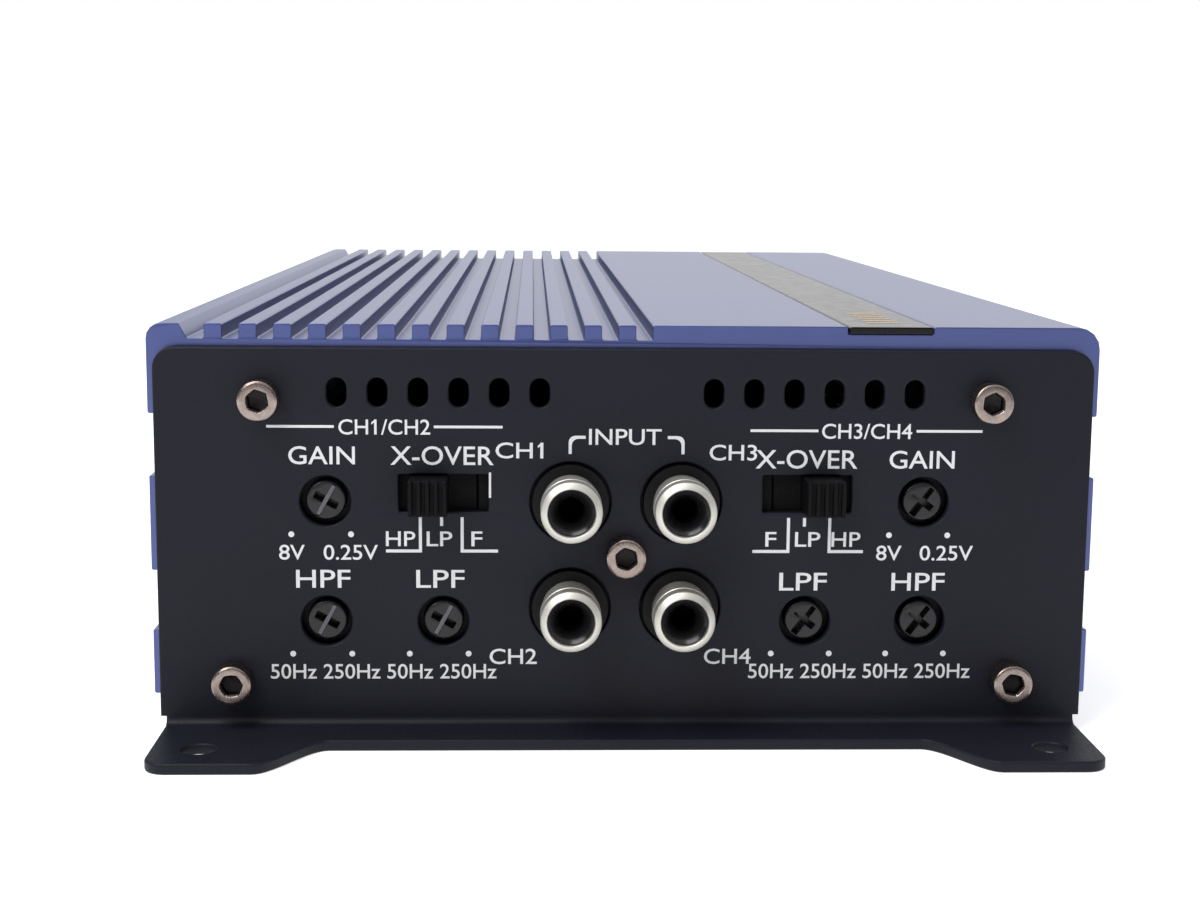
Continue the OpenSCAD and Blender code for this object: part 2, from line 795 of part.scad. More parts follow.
fuse_blades(fuse_x[1]);  // fuse_2_blades
color("deepskyblue") lamp(lamp_x[0]);  // power_lamp
color("red") lamp(lamp_x[1]);  // protect_lamp
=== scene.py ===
import math

import bmesh
import bpy
import numpy as np
from mathutils import Matrix, Vector
from mathutils.geometry import tessellate_polygon


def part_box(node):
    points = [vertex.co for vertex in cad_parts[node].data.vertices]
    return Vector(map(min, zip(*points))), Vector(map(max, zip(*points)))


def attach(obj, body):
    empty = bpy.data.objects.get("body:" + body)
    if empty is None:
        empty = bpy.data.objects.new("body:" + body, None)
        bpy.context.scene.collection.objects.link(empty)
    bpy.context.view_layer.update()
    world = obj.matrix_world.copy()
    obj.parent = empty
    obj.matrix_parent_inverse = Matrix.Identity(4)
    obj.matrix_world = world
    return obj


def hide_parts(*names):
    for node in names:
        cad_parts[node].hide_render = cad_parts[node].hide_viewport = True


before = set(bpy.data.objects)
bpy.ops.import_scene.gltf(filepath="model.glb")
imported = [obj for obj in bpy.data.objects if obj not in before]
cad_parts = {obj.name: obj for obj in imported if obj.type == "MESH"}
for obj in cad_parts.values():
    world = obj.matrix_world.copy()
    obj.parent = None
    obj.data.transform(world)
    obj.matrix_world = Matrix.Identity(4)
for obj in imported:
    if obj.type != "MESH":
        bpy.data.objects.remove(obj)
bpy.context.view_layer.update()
mm = 0.001


# ---- View and studio ----
# The amplifier stands on a pale table and is seen a little from above, almost square on to its input panel.
# The room is white behind and above it, grey in front, and darker on the left, where a curtain hangs. One
# large soft light hangs over it to the left, and a small one fills from the front.

camera_place = Vector((-13.0, -369.5, 77.9)) * mm
camera_pitch, camera_yaw, camera_roll = math.radians(8.535), math.radians(2.12), math.radians(0.51)
ahead = Vector((math.sin(camera_yaw) * math.cos(camera_pitch),
                math.cos(camera_yaw) * math.cos(camera_pitch), -math.sin(camera_pitch)))
level = Vector((math.cos(camera_yaw), -math.sin(camera_yaw), 0))
upright = level.cross(ahead)
side = level * math.cos(camera_roll) + upright * math.sin(camera_roll)
top = upright * math.cos(camera_roll) - level * math.sin(camera_roll)

lens = bpy.data.cameras.new("camera")
lens.lens, lens.sensor_width = 56.37, 36
camera = bpy.data.objects.new("camera", lens)
camera.matrix_world = Matrix.Translation(camera_place) @ Matrix((side, top, -ahead)).transposed().to_4x4()
bpy.context.scene.collection.objects.link(camera)
bpy.context.scene.camera = camera
bpy.context.scene.view_settings.view_transform = "Standard"


def linear(hex_colour):
    """An sRGB hex colour as linear values: c/12.92 up to 0.04045, and ((c+0.055)/1.055)^2.4 above it."""
    c = np.array([int(hex_colour[i:i + 2], 16) for i in (1, 3, 5)]) / 255
    return (*np.where(c <= 0.04045, c / 12.92, ((c + 0.055) / 1.055) ** 2.4).tolist(), 1.0)


def add(tree, kind, settings=None, **sockets):
    """Adds a node of a kind to a tree, or takes the one of that name, and fills its sockets. A socket is
    called by its name, or by an underscore and its number. It takes a value, another node (its first
    output) or a pair of a node and an output's name."""
    made = tree.nodes.get(kind) or tree.nodes.new("ShaderNode" + kind)
    for name, value in (settings or {}).items():
        setattr(made, name, value)
    for name, value in sockets.items():
        socket = made.inputs[int(name[1:]) if name[0] == "_" else name.replace("_", " ")]
        paired = isinstance(value, tuple) and isinstance(value[0], bpy.types.Node)
        source, output = value if paired else (value, 0)
        if isinstance(source, bpy.types.Node):
            tree.links.new(source.outputs[output], socket)
        else:
            socket.default_value = value
    return made


room = bpy.data.worlds.new("room")
room.use_nodes = True
bpy.context.scene.world = room
heading = add(room.node_tree, "TexCoord")
parts = add(room.node_tree, "SeparateXYZ", Vector=(heading, "Generated"))
behind = add(room.node_tree, "MapRange", {"interpolation_type": "SMOOTHSTEP"},
             Value=(parts, "Y"), From_Min=-0.7, From_Max=0.25)
ceiling_glow = add(room.node_tree, "MapRange", {"interpolation_type": "SMOOTHSTEP"},
                   Value=(parts, "Z"), From_Min=0.25, From_Max=0.75, To_Max=0.7)
open_side = add(room.node_tree, "Math", {"operation": "MAXIMUM"}, _0=behind, _1=ceiling_glow)
walls = add(room.node_tree, "MixRGB", Fac=open_side, Color1=linear("#6a6667"), Color2=linear("#ffffff"))
leftward = add(room.node_tree, "MapRange", {"interpolation_type": "SMOOTHSTEP"},
               Value=(parts, "X"), From_Min=-0.45, From_Max=-0.08)
curtain = add(room.node_tree, "MixRGB", Fac=leftward, Color1=linear("#8494a6"), Color2=linear("#ffffff"))
shaded = add(room.node_tree, "MixRGB", {"blend_type": "MULTIPLY"}, Fac=1.0, Color1=walls, Color2=curtain)
seen = add(room.node_tree, "MixRGB", Fac=(add(room.node_tree, "LightPath"), "Is Camera Ray"), Color1=shaded,
           Color2=linear("#ffffff"))
add(room.node_tree, "Background", Color=seen, Strength=1.0)


aim = Vector((0, -0.05, 0.03))


def soft_light(name, place, size, power, colour="#ffffff"):
    """A square area light, in metres and watts, turned to face the amplifier."""
    lamp = bpy.data.lights.new(name, "AREA")
    lamp.size = size
    lamp.energy = power
    lamp.color = linear(colour)[:3]
    holder = bpy.data.objects.new(name, lamp)
    holder.location = place
    holder.rotation_euler = (aim - Vector(place)).to_track_quat("-Z", "Y").to_euler()
    bpy.context.scene.collection.objects.link(holder)


soft_light("overhead", (-0.45, -0.35, 0.95), size=0.7, power=8.5)
soft_light("front_fill", (-0.5, -0.8, 0.55), size=0.3, power=2.2, colour="#fff6ee")

reach = 6
table_top = bpy.data.meshes.new("table_top")
table_top.from_pydata([(-reach, -reach, 0), (reach, -reach, 0), (reach, reach, 0), (-reach, reach, 0)], [],
                      [(0, 1, 2, 3)])
table = bpy.data.objects.new("table_top", table_top)
bpy.context.scene.collection.objects.link(table)
paint = bpy.data.materials.new("table_paint")
paint.use_nodes = True
add(paint.node_tree, "Principled BSDF", Base_Color=linear("#f4f4f4"), Roughness=0.8,
    Emission_Color=linear("#ffffff"), Emission_Strength=0.45)
table_top.materials.append(paint)


# ---- Heatsink ----
# One aluminium extrusion makes the top, both walls, the ceiling and the screw ports. It is sawn to length,
# blasted to a fine matt surface and anodised blue. Both end plates are screwed against its sawn ends.


def node_box(name):
    """A CAD node's lowest and highest corners, in millimetres."""
    low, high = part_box(name)
    return np.array(low) / mm, np.array(high) / mm


def rounded(outline, radius, steps=4):
    """Each corner C of an outline gives way to an arc that touches its sides at A and B. With w the cosine
    of half the turn, P = ((1-t)^2 A + 2wt(1-t) C + t^2 B) / ((1-t)^2 + 2wt(1-t) + t^2)."""
    corner = np.asarray(outline, float)
    before, after = np.roll(corner, 1, 0) - corner, np.roll(corner, -1, 0) - corner
    reach = np.minimum(np.hypot(*before.T), np.hypot(*after.T)) * 0.48
    before /= np.hypot(*before.T)[:, None]
    after /= np.hypot(*after.T)[:, None]
    turn = np.pi - np.arccos(np.clip((before * after).sum(1), -1, 1))
    tangent = np.minimum(radius * np.tan(turn / 2), reach)[:, None, None]
    w = np.cos(turn / 2)[:, None, None]
    t = np.linspace(0, 1, steps + 1)[None, :, None]
    c = corner[:, None]
    a, b = c + before[:, None] * tangent, c + after[:, None] * tangent
    share = (1 - t) ** 2, 2 * w * t * (1 - t), t ** 2
    return ((share[0] * a + share[1] * c + share[2] * b) / sum(share)).reshape(-1, 2)


def ring(x, z, radius, steps=48):
    """A hole's round rim, clockwise: x + r cos a, z - r sin a."""
    a = np.arange(steps) * 2 * np.pi / steps
    return np.stack([x + radius * np.cos(a), z - radius * np.sin(a)], 1)


def solid(loops, low, high, edge, steps=3):
    """A flat outline with holes in X and Z, given thickness from low to high along Y. Each loop is repeated
    along Y, and is drawn in by edge(1 - cos a) where it is edge(1 - sin a) from an end, which rounds every
    rim. The end faces fill the drawn-in loops. Outlines run anticlockwise and holes clockwise."""
    quarter = np.linspace(0, np.pi / 2, steps + 1)
    inset = edge * (1 - np.cos(quarter))
    depth = edge * (1 - np.sin(quarter))
    layers = [*zip(low + depth[::-1], inset[::-1]), *zip(high - depth, inset)]
    points, faces, rims, start = [], [], [], 0
    for loop in loops:
        loop = np.asarray(loop, float)
        out = np.roll(loop, -1, 0) - loop
        keep = np.hypot(*out.T) > 1e-4
        loop = loop[keep]
        out = np.roll(loop, -1, 0) - loop
        normal = np.stack([-out[:, 1], out[:, 0]], 1) / np.hypot(*out.T)[:, None]
        behind = np.roll(normal, 1, 0)
        miter = (normal + behind) / (1 + (normal * behind).sum(1))[:, None]
        n = len(loop)
        for y, inward in layers:
            flat = loop + miter * inward
            points.append(np.stack([flat[:, 0], np.full(n, y), flat[:, 1]], 1))
        i = np.arange(n)
        j = (i + 1) % n
        for k in range(len(layers) - 1):
            lower, upper = start + k * n, start + (k + 1) * n
            faces.append(np.stack([lower + i, upper + i, upper + j, lower + j], 1))
        rims.append((start, start + (len(layers) - 1) * n, n))
        start += n * len(layers)
    points = np.concatenate(points)
    walls = np.concatenate(faces).tolist()
    caps = []
    for end in (0, 1):
        rim = np.concatenate([np.arange(r[end], r[end] + r[2]) for r in rims])
        fill = tessellate_polygon([[Vector(p) for p in points[r[end]:r[end] + r[2]]] for r in rims])
        corner = rim[np.array(fill)]
        a, b, c = (points[corner[:, k]] for k in range(3))
        facing = (b[:, 2] - a[:, 2]) * (c[:, 0] - a[:, 0]) - (b[:, 0] - a[:, 0]) * (c[:, 2] - a[:, 2])
        wrong = (facing < 0) == (end == 1)
        corner[wrong] = corner[wrong][:, ::-1]
        caps += corner[np.abs(facing) > 1e-9].tolist()
    return points, walls + caps


def piece(name, points, faces, look, slot, body="root", replaces=(), sharp=40, bevel=0):
    """Makes an object from points in millimetres and faces, closes its seams, shades it smooth except across
    edges sharper than an angle in degrees, and weighs its normals by area so that flat faces stay flat.
    With a bevel, in millimetres, flat faces are made whole and every sharp edge is rounded by that much."""
    mesh = bpy.data.meshes.new(name)
    mesh.from_pydata((np.asarray(points) * mm).tolist(), [], faces)
    soft = bmesh.new()
    soft.from_mesh(mesh)
    bmesh.ops.remove_doubles(soft, verts=soft.verts, dist=1e-7)
    bmesh.ops.dissolve_degenerate(soft, edges=soft.edges, dist=1e-7)
    if bevel:
        bmesh.ops.dissolve_limit(soft, angle_limit=math.radians(0.5), verts=soft.verts, edges=soft.edges)
    soft.to_mesh(mesh)
    soft.free()
    mesh.shade_smooth()
    mesh.set_sharp_from_angle(angle=math.radians(sharp))
    mesh.materials.append(look)
    made = bpy.data.objects.new(name, mesh)
    bpy.context.scene.collection.objects.link(made)
    if bevel:
        round_off = made.modifiers.new("round_off", "BEVEL")
        round_off.width = bevel * mm
        round_off.segments = 2
        round_off.angle_limit = math.radians(35)
        round_off.use_clamp_overlap = False
    even = made.modifiers.new("even_normals", "WEIGHTED_NORMAL")
    even.keep_sharp = True
    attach(made, body)
    if replaces:
        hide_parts(*replaces)
    return made


def finish(name, colours, patch, grain, height, roughness, **shader):
    """A surface whose colour wanders between two tones over patches of a size in millimetres, whose
    roughness wanders between two values, and whose grain stands up by a height, both in millimetres."""
    look = bpy.data.materials.new(name)
    look.use_nodes = True
    tree = look.node_tree
    place = add(tree, "TexCoord")
    clouds = add(tree, "TexNoise", Vector=(place, "Object"), Scale=1 / (patch * mm), Detail=3.0)
    tone = add(tree, "MixRGB", Fac=clouds, Color1=linear(colours[0]), Color2=linear(colours[1]))
    grit = add(tree, "TexNoise", Vector=(place, "Object"), Scale=1 / (grain * mm), Detail=2.0)
    gloss = add(tree, "MapRange", Value=grit, From_Min=0.3, From_Max=0.7,
                To_Min=roughness[0], To_Max=roughness[1])
    relief = add(tree, "Bump", Height=grit, Strength=1.0, Distance=height * mm)
    add(tree, "Principled BSDF", Base_Color=tone, Roughness=gloss, Normal=relief, **shader)
    return look


# Anodised aluminium, blasted first: a coloured metal with a fine even grain. The clear oxide on top gives
# pale, soft reflections at low angles. The blast marks are drawn at 0.18 mm so that they show.
anodised_blue = finish("anodised_aluminium_blue", ("#3b4986", "#43518f"), 9, 0.18, 0.006, (0.42, 0.52),
                       Metallic=1.0, Coat_Weight=0.8, Coat_Roughness=0.32, Coat_IOR=1.65)

sink_low, sink_high = node_box("heatsink")
half, crown, floor_z = sink_high[0], sink_high[2], sink_low[2]
wall, ceiling = half - 5, crown - 5.8
# The lands are the raised bands along each side, by their heights, and the grooves between them step in.
lands, step_in = ((5.4, 14.5), (22.8, 36.0), (44.5, crown)), 1.5
groove_depth, groove_width, groove_count = 2.05, 2.27, 14
first_fin, fin_pitch, lean = -57.2, 4.67, 1.1
edge_round, shoulder_round, sawn_round, slack = 0.28, 3.0, 0.12, 0.1
strip_low, strip_high = node_box("trim_strip")
channel = (strip_low[0] - 0.3, strip_high[0] + 0.05, strip_low[2] - 0.05)
port_top, port_low, port_r, boss = (49.6, 46.75), (53.8, 7.6), 1.5, 3.2
board_low, board_high = node_box("main_board")
rail_in, rail = wall - 2.5, 1.2
cover_low, cover_high = node_box("bottom_cover")

outer = [(half - step_in, floor_z)]
for low_z, high_z in lands:
    outer += [(half - step_in, low_z), (half, low_z), (half, high_z)]
    if high_z < crown:
        outer.append((half - step_in, high_z))
crest = [(channel[1], crown), (channel[1], channel[2]), (channel[0], channel[2]), (channel[0], crown)]
for i in range(groove_count - 1, -1, -1):
    x = first_fin + i * fin_pitch
    crest += [(x, crown), (x, crown - groove_depth), (x - groove_width, crown - groove_depth),
              (x - groove_width - (lean if i == 0 else 0), crown)]


def arc(x, z, radius, start, end, steps=14):
    """Points on a circle from one angle to another, in degrees."""
    a = np.radians(np.linspace(start, end, steps))
    return list(zip(x + radius * np.cos(a), z + radius * np.sin(a)))


slot_low, slot_high, slot_in = cover_low[2] - slack, cover_high[2] + slack, cover_high[0] + slack
rails = (board_high[2] + slack, board_low[2] - slack)
inner = [(port_top[0] - boss, ceiling), *arc(*port_top, boss, 180, 360), (port_top[0] + boss, ceiling),
         (wall, ceiling), (wall, rails[0] + rail), (rail_in, rails[0] + rail), (rail_in, rails[0]),
         (wall, rails[0]), (wall, rails[1]), (rail_in, rails[1]), (rail_in, port_low[1] + boss),
         *arc(*port_low, boss, 90, 270), (wall, port_low[1] - boss), (wall, slot_high), (slot_in, slot_high),
         (slot_in, slot_low), (wall, slot_low), (wall, floor_z)]
mirrored = [(-x, z) for x, z in reversed(outer)]
section = outer + crest + mirrored + [(-x, z) for x, z in reversed(inner)] + inner
fillet = np.full(len(section), edge_round)
fillet[[len(outer) - 1, len(outer) + len(crest)]] = shoulder_round
ports = [ring(s * x, z, port_r, 24) for s in (1, -1) for x, z in (port_top, port_low)]
extruded = solid([rounded(section, fillet), *ports], sink_low[1], sink_high[1], sawn_round)
piece("heatsink_extrusion", *extruded, anodised_blue, "blue_anodised", replaces=("heatsink",))


# ---- Trim strip ----
# A gloss black plastic strip slid into the channel of the extrusion, with a row of gold bars near its front
# end, foiled on to its face.

# Gloss black acrylic: almost a mirror, with only faint waves from moulding.
acrylic_black = finish("acrylic_gloss_black", ("#0b0b0d", "#101013"), 12, 2.0, 0.0006, (0.2, 0.24), IOR=1.49,
                       Specular_IOR_Level=0.22)
# Hot-stamped gold foil: a thin bright metal, a little uneven over the plastic under it.
foil_gold = finish("foil_gold", ("#c89a4a", "#d8ae62"), 3, 0.4, 0.002, (0.22, 0.34), Metallic=1.0)


def bar(x0, x1, z0, z1, corner=0.25):
    """A rectangle's outline with rounded corners, anticlockwise."""
    return rounded([(x0, z0), (x1, z0), (x1, z1), (x0, z1)], corner)


def merged(solids):
    """Several solids as one set of points and faces."""
    points, faces, start = [], [], 0
    for p, f in solids:
        points.append(np.asarray(p, float))
        faces += [[i + start for i in face] for face in f]
        start += len(p)
    return np.concatenate(points), faces


def laid_flat(made, z):
    """Lays a solid built in X and Z down on a level face: its Z runs along Y and its thickness stands up."""
    points, faces = made
    return np.stack([points[:, 0], points[:, 2], z - points[:, 1]], 1), faces


strip = solid([bar(strip_low[0], strip_high[0], strip_low[2], strip_high[2])], strip_low[1], strip_high[1],
              sawn_round)
piece("trim_strip_inlay", *strip, acrylic_black, "gloss_strip", replaces=("trim_strip",))
foil, bar_half, bar_height, bar_rise, bar_pitch = 0.03, 2.4, 1.2, 1.4, 3.4
bars = []
middle = (strip_low[0] + strip_high[0]) / 2
for i in range(6):
    left, right, y = middle - bar_half, middle + bar_half, strip_low[1] + 6 + i * bar_pitch
    slant = [(left, y), (right, y + bar_rise), (right, y + bar_rise + bar_height), (left, y + bar_height)]
    bars.append(laid_flat(solid([rounded(slant, 0.2)], 0, foil, 0.005), strip_high[2] + foil))
piece("trim_strip_foil", *merged(bars), foil_gold, "gloss_strip")


# ---- End plates ----
# Each end plate is one 1.5 mm steel sheet, punched flat, folded outwards at the foot into a flange with two
# feet, and powder coated black. The input plate and the power plate differ only in their cut-outs.

# Powder coat, matt black: melted powder leaves a fine orange-peel grain of about 0.3 mm, with a cold tint.
powder_black = finish("powder_coat_black", ("#13141e", "#171923"), 14, 0.32, 0.03, (0.42, 0.58), IOR=1.5,
                      Specular_IOR_Level=0.2)

sheet, bend_inside = 1.5, 1.0
bend_middle = bend_inside + sheet / 2
bend_length = bend_middle * math.pi / 2
front_low, front_high = node_box("front_end_plate")
rear_low = node_box("rear_end_plate")[0]
plate_front, plate_rear = front_high[1] - sheet, rear_low[1] + sheet
plate_half, plate_top, plate_corner = 64.0, front_high[2], 3.0
fold_z = sheet + bend_inside
foot_half, foot_reach, flange_reach = 63.2, plate_front - front_low[1], 8.0
foot_neck, foot_swing = 40.0, 9.0
foot_hole, foot_hole_r, screw_hole_r, punched_edge = (56.8, 11.5), 2.25, 1.7, 0.28
vents = [s * (11.85 + 5.5 * i) for s in (-1, 1) for i in range(6)]
vent_z, vent_width, vent_height = 47.65, 2.7, 4.0


def oblong(x, z, width, height, steps=10):
    """An upright slot's rim with half-round ends, clockwise."""
    r, straight = width / 2, (height - width) / 2
    a = np.linspace(0, np.pi, steps)
    upper = np.stack([x - r * np.cos(a), z + straight + r * np.sin(a)], 1)
    lower = np.stack([x + r * np.cos(a), z - straight - r * np.sin(a)], 1)
    return np.concatenate([upper, lower])


def folded(points):
    """Folds the flat sheet. Below the fold line a point turns by the angle -s/m about the bend's axis, where
    m is the bend's middle radius, up to a quarter turn, and what lies beyond runs straight out as the
    flange."""
    x, w, s = points.T
    turn = np.clip(-s / bend_middle, 0, np.pi / 2)
    beyond = np.maximum(-s - bend_length, 0)
    radius = bend_inside + w
    y = -bend_inside + radius * np.cos(turn) - beyond * np.sin(turn)
    z = fold_z + np.maximum(s, 0) - radius * np.sin(turn)
    return np.stack([x, y, z], 1)


def end_plate(name, cut_outs, outside, face, replaces):
    """Punches the flat outline, scores it across the bend, folds it, and stands it at an outer face that
    looks along -Y or +Y. Each foot's edge runs out by 3t^2 - 2t^3 of its reach as t goes from 0 to 1."""
    run = np.linspace(0, 1, 15)
    depth = flange_reach + (foot_reach - flange_reach) * run * run * (3 - 2 * run)
    low = -(depth - bend_inside + bend_length)
    r, height = plate_corner, plate_top - fold_z
    right = [*zip(foot_neck + foot_swing * run, low), *arc(foot_half - r, low[-1] + r, r, -90, 0, 8),
             (foot_half, -0.01), (plate_half, 0), *arc(plate_half - r, height - r, r, 0, 90, 8)]
    outline = right + [(-x, s) for x, s in reversed(right)]
    holes = [np.asarray(c) - (0, fold_z) for c in cut_outs]
    holes += [oblong(x, vent_z - fold_z, vent_width, vent_height) for x in vents]
    holes += [ring(s * x, z - fold_z, screw_hole_r, 32) for s in (-1, 1) for x, z in (port_top, port_low)]
    foot_hole_low = -(foot_hole[1] - bend_inside + bend_length)
    holes += [ring(s * foot_hole[0], foot_hole_low, foot_hole_r, 40) for s in (-1, 1)]
    points, faces = solid([outline, *holes], 0, sheet, punched_edge)
    blank = bpy.data.meshes.new(name)
    blank.from_pydata(points.tolist(), [], faces)
    scored = bmesh.new()
    scored.from_mesh(blank)
    for s in np.linspace(0, -bend_length, 9):
        whole = scored.verts[:] + scored.edges[:] + scored.faces[:]
        bmesh.ops.bisect_plane(scored, geom=whole, dist=1e-5, plane_co=(0, 0, s), plane_no=(0, 0, 1))
    scored.to_mesh(blank)
    scored.free()
    flat = np.empty(len(blank.vertices) * 3)
    blank.vertices.foreach_get("co", flat)
    placed = folded(flat.reshape(-1, 3)) * (1, outside, 1) + (0, face, 0)
    faces = [list(p.vertices)[::outside] for p in blank.polygons]
    bpy.data.meshes.remove(blank)
    return piece(name, placed, faces, powder_black, "black_powder_coat", replaces=replaces)


def centre(name):
    """The middle of a CAD node, in millimetres."""
    low, high = node_box(name)
    return (low + high) / 2


trimmers = [f"{what}_trimmer_{pair}" for pair in ("ch12", "ch34") for what in ("gain", "hpf", "lpf")]
trimmer_hole_r, jack_hole_r, shell_r = 3.5, 5.5, 4.15
shell_low, shell_high = node_box("jack_shells")
jacks = [(x, z) for x in (shell_low[0] + shell_r, shell_high[0] - shell_r)
         for z in (shell_high[2] - shell_r, shell_low[2] + shell_r)]
frames_low, frames_high = node_box("switch_frames")
frame_half, window = 9.5, (12.2, 5.2)
window_x, window_z = frames_high[0] - frame_half, (frames_low[2] + frames_high[2]) / 2


def opening(x, z, width, height, corner=0.3):
    """A rectangular cut-out's rim, clockwise."""
    return bar(x - width / 2, x + width / 2, z - height / 2, z + height / 2, corner)[::-1]


front_cuts = [ring(*centre(t)[[0, 2]], trimmer_hole_r) for t in trimmers]
front_cuts += [ring(x, z, jack_hole_r, 64) for x, z in jacks]
front_cuts += [opening(s * window_x, window_z, *window) for s in (-1, 1)]
front_cuts.append(ring(0, centre("jack_block_screw")[2], screw_hole_r, 32))
end_plate("input_end_plate", front_cuts, 1, plate_front, ("front_end_plate",))


# ---- Printed legends ----
# The legends of the controls are screen printed in white on the powder coat, as a film a few hundredths
# of a millimetre thick. Words are placed from the middle of the control that they name, and the right half
# of the print sits a little lower than the left.

# Screen ink: matt off-white, a little uneven because the coat under it is grained.
screen_ink = finish("screen_ink_white", ("#cdced3", "#dcdde0"), 1.2, 0.25, 0.01, (0.5, 0.65))
film = 0.04


def printed(made, x, z, face, outside):
    """Places a solid that was built about X and Z = 0 with its thickness along Y on a plate's outer face."""
    points, faces = made
    return points * (outside, outside, 1) + (x, face, z), faces


def letters(text):
    """A text's raw mesh, from the built-in sans-serif font: its points, with Z upright, and its faces."""
    curve = bpy.data.curves.new(text, "FONT")
    curve.body = text
    curve.extrude = 0.5
    curve.offset = 0.006
    curve.resolution_u = 4
    holder = bpy.data.objects.new(text, curve)
    mesh = bpy.data.meshes.new_from_object(holder)
    points = np.array([p.co for p in mesh.vertices])[:, [0, 2, 1]] * (1, -1, 1)
    faces = [list(p.vertices) for p in mesh.polygons]
    bpy.data.objects.remove(holder)
    bpy.data.meshes.remove(mesh)
    bpy.data.curves.remove(curve)
    return points, faces


def word(text, width, height):
    """A word as a filled film: its letters are stretched to a width and a cap height in millimetres, and
    a figure one gets the flag that the font leaves out."""
    points, faces = letters(text)
    low, high = points.min(0), points.max(0)
    scale = np.array((width, film, height)) / (high - low)
    made = [((points - (low + high) / 2) * scale - (0, film / 2, 0), faces)]
    if "1" in text:
        stem = letters(text[:text.index("1") + 1])[0][:, 0].max()
        x, z = (stem - (low[0] + high[0]) / 2) * scale[0] - 0.1 * height, height / 2
        tip = x - 0.24 * height
        flag = [(x, z - 0.16 * height), (x, z), (tip, z - 0.2 * height), (tip, z - 0.34 * height)]
        made.append(solid([flag], -1.3 * film, 0, 0.005, 1))
    return merged(made)


def stroke(*path, turn=0.03, width=0.42):
    """A printed line along a path: every point moves half a width to either side along its mitre, and the
    corners of the outline are rounded by a radius."""
    path = np.array(path, float)
    along = np.diff(path, axis=0)
    normal = np.stack([-along[:, 1], along[:, 0]], 1) / np.hypot(*along.T)[:, None]
    mitre = (normal[:-1] + normal[1:]) / (1 + (normal[:-1] * normal[1:]).sum(1))[:, None]
    aside = np.vstack([normal[:1], mitre, normal[-1:]]) * width / 2
    radii = np.full(2 * len(path), 0.03)
    radii[1:len(path) - 1] = radii[len(path) + 1:-1] = turn
    return solid([rounded(np.vstack([path - aside, (path + aside)[::-1]]), radii)], -film, 0, 0.005, 1)


def dot(radius=0.4):
    """A round printed dot."""
    return solid([ring(0, 0, radius, 24)[::-1]], -film, 0, 0.005, 1)


prints = []


def put(made, x, z):
    """Adds one printed mark to the input plate."""
    prints.append(printed(made, x, z, plate_front, 1))


# Names of the controls are tall, numbers and channels small. Widths go with each word, then its place.
tall, small, right_drop, corner_turn = 2.5, 2.1, 0.35, 0.9
headings = {"gain": (9.0, 6.3), "hpf": (7.4, 5.95), "lpf": (6.6, 5.95)}
volts, hertz = (("8V", 3.5), ("0.25V", 7.4)), (("50Hz", 6.3), ("250Hz", 7.8))
for name in trimmers:
    x, _, z = centre(name)
    what = name.split("_")[0]
    drop = right_drop if x > 0 else 0
    width, above = headings[what]
    put(word(what.upper(), width, tall), x - 0.4, z + above - drop)
    for (text, width), along in zip(volts if what == "gain" else hertz, (-4.6, 3.4)):
        put(word(text, width, small), x + along, z - 7.1)
    for s in (-1, 1):
        put(dot(), x - 0.6 + s * 4.05, z - 4.6)
positions = (("HP", 4.0, 5.7), ("LP", 3.5, 0.4), ("F", 1.5, -4.7))
hooks, hook_top, hook_low, tick_low = ((3.2, 7.9), (-2.5, -7.4)), -3.3, -8.0, -4.5
pair_lines, pair_middle, thin = ((16.9, 26.2), (39.7, 48.8)), 32.9, 0.36
for s in (-1, 1):
    x, z = s * window_x, window_z
    drop = right_drop if s > 0 else 0
    put(word("X-OVER", 14.0, 2.6), x - 0.2, z + 5.2 - drop)
    for text, width, along in positions:
        put(word(text, width, 2.05), x + s * along - 0.2, z - 6.3)
    for near, far in hooks:
        put(stroke((s * near, hook_top), (s * near, hook_low), (s * far, hook_low)), x, z)
    put(stroke((0, hook_top), (0, tick_low)), x - 0.3, z)
    put(word("CH1/CH2" if s < 0 else "CH3/CH4", 12.4, small), s * pair_middle, z + 9.1 - drop)
    for x0, x1 in pair_lines:
        put(stroke((s * x0, 0), (s * x1, 0), width=thin), 0, z + 9.15 - drop)
put(stroke((0, -1.7), (0, 1.8), width=0.3), window[0] / 2 + 0.2 - window_x, window_z + 1.1)
(left, low), (_, high) = sorted(jacks)[:2]
for text, x, z in (("CH1", left - 7.0, high + 7.1), ("CH3", -left + 7.0, high + 6.9),
                   ("CH2", left - 7.8, low - 6.9), ("CH4", -left + 6.7, low - 6.9)):
    put(word(text, 6.5, 2.2), x, z)
put(word("INPUT", 9.9, 2.2), -0.2, high + 9.0)
for s in (-1, 1):
    put(stroke((s * 7.7, -2.3), (s * 7.7, 0), (s * 5.6, 0), turn=corner_turn), 0, high + 8.95)
piece("input_plate_legends", *merged(prints), screen_ink, "black_powder_coat", sharp=30)


# ---- Panel screws ----
# M3 socket cap screws hold both end plates, and a fifth holds the socket block. The heads are cold formed
# with a knurled side and a 2.5 mm hexagon socket, and the screws are nickel plated.

# Nickel plate over steel: a warm grey metal, bright but finely scratched from driving.
nickel_warm = finish("nickel_plate_warm", ("#766a67", "#ab9d96"), 1.1, 0.12, 0.006, (0.2, 0.38),
                     Metallic=1.0)

# Painted shade for the inside of the hexagon socket: nearly black, with a little metal showing through.
socket_painted_shade = finish("screw_socket_painted_shade", ("#100c0b", "#1a1412"), 0.8, 0.1, 0.01, (0.35, 0.6),
                      Metallic=0.5)

